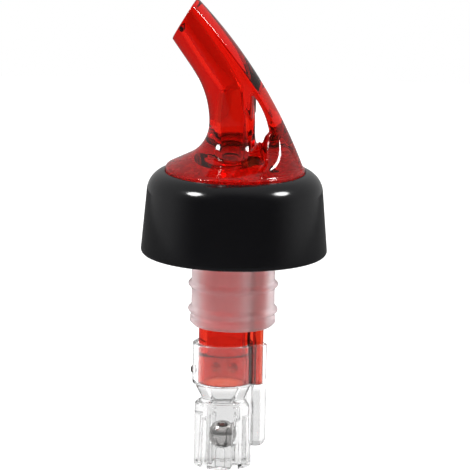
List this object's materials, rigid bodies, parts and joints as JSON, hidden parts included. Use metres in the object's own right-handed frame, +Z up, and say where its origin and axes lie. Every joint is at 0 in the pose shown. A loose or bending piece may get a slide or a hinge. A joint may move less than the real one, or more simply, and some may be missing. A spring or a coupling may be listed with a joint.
{
  "type": "measured pourer",
  "caption": "Measured pourer for a bottle: curved transparent spout with a back strap, bell collar, ringed cork, and a slotted clear cage whose steel ball shuts the flow.",
  "frame": {"origin": "on the stopper axis, midway between the two sealing rings of the cork", "axes": "+Z up along the stopper axis to the spout, -X towards the spout's mouth, +X towards the strap and the air tube"},
  "size_m": [0.0421, 0.042, 0.1067],
  "materials": {
    "red_plastic": "transparent red, polished",
    "black_plastic": "glossy black",
    "frosted_plastic": "soft, frosted and translucent",
    "clear_plastic": "clear, polished",
    "natural_plastic": "natural, satin",
    "steel": "polished stainless steel"
  },
  "bodies": {
    "pourer": {"spout_body": "red_plastic", "collar": "black_plastic", "bottle_cork": "frosted_plastic", "valve_housing": "clear_plastic", "port_plate": "natural_plastic", "ball_carrier": "natural_plastic"},
    "timing_ball": {"timing_ball": "steel"},
    "check_ball_left": {"check_ball_left": "steel"},
    "check_ball_right": {"check_ball_right": "steel"}
  },
  "joints": [
    {"name": "timing_ball_run", "type": "slide", "parent": "pourer", "child": "timing_ball", "axis": [0, 0, 1], "range_m": [0, 0.00534]},
    {"name": "check_ball_left_lift", "type": "slide", "parent": "pourer", "child": "check_ball_left", "axis": [0, 0, 1], "range_m": [0, 0.00125]},
    {"name": "check_ball_right_lift", "type": "slide", "parent": "pourer", "child": "check_ball_right", "axis": [0, 0, 1], "range_m": [0, 0.00125]}
  ]
}
